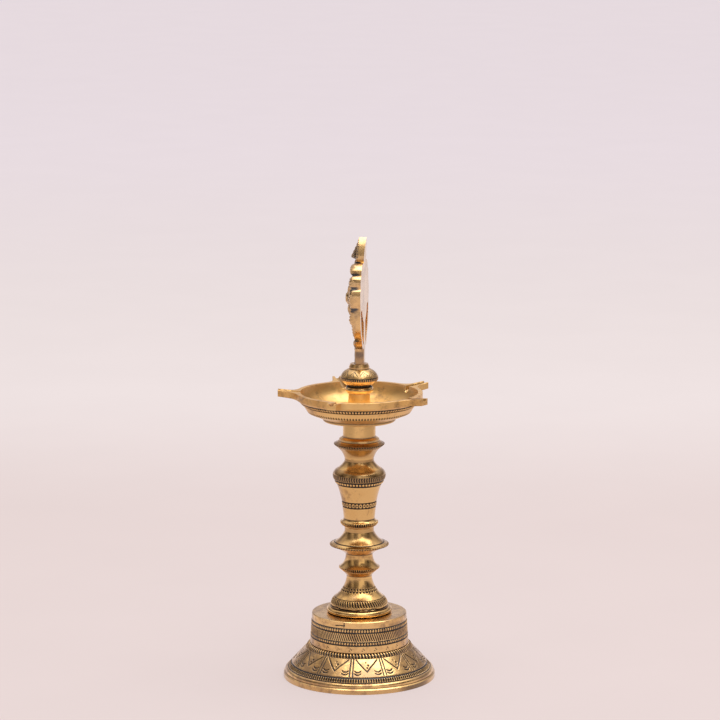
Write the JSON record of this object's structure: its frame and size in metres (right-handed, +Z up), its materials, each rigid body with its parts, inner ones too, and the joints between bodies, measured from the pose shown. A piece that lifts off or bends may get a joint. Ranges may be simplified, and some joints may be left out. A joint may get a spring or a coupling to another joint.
{
  "type": "brass oil lamp",
  "caption": "Standing brass oil lamp: hollow bell base, turned two-part stem, round bowl with wick spouts and an openwork finial plaque that unscrews.",
  "frame": {"origin": "on the table under the turning axis, at the middle of the base", "axes": "+Z up along the stem; -Y towards the front spout and the face of the finial plaque; +X to the left of someone who looks at that face"},
  "size_m": [0.1076, 0.1075, 0.305],
  "materials": {
    "base_brass": "polished cast brass with dark patina in the engraving",
    "stem_brass": "turned and polished, patina in the grooves",
    "bowl_brass": "polished",
    "finial_brass": "cast relief with patina, filed flat back",
    "dull_brass": "dull, unpolished"
  },
  "bodies": {
    "base": {"base_bell": "base_brass", "base_washer": "dull_brass", "base_nut": "dull_brass", "base_stud": "dull_brass", "stem_lower": "stem_brass"},
    "stem_joint": {"stem_stud": "dull_brass"},
    "stem": {"stem_upper": "stem_brass", "bowl_stud": "dull_brass"},
    "bowl": {"oil_bowl": "bowl_brass"},
    "ring": {"spacer_ring": "stem_brass"},
    "finial": {"finial_knob": "finial_brass", "finial_plaque": "finial_brass"}
  },
  "joints": [
    {"name": "stem_unscrew", "type": "hinge", "parent": "base", "child": "stem_joint", "pos_m": [0, 0, 0.105], "axis": [0, 0, 1], "range_deg": [0, 2880]},
    {"name": "stem_rise", "type": "slide", "parent": "stem_joint", "child": "stem", "axis": [0, 0, 1], "range_m": [0, 0.012]},
    {"name": "bowl_turn", "type": "hinge", "parent": "stem", "child": "bowl", "pos_m": [0, 0, 0.1792], "axis": [0, 0, 1], "continuous": true},
    {"name": "finial_unscrew", "type": "hinge", "parent": "stem", "child": "ring", "pos_m": [0, 0, 0.1984], "axis": [0, 0, 1], "range_deg": [0, 2160]},
    {"name": "finial_rise", "type": "slide", "parent": "ring", "child": "finial", "axis": [0, 0, 1], "range_m": [0, 0.0075]}
  ],
  "couplings": [
    {"joint": "stem_rise", "follows": "stem_unscrew", "m_per_rad": 0.00023873},
    {"joint": "finial_rise", "follows": "finial_unscrew", "m_per_rad": 0.00019894}
  ]
}
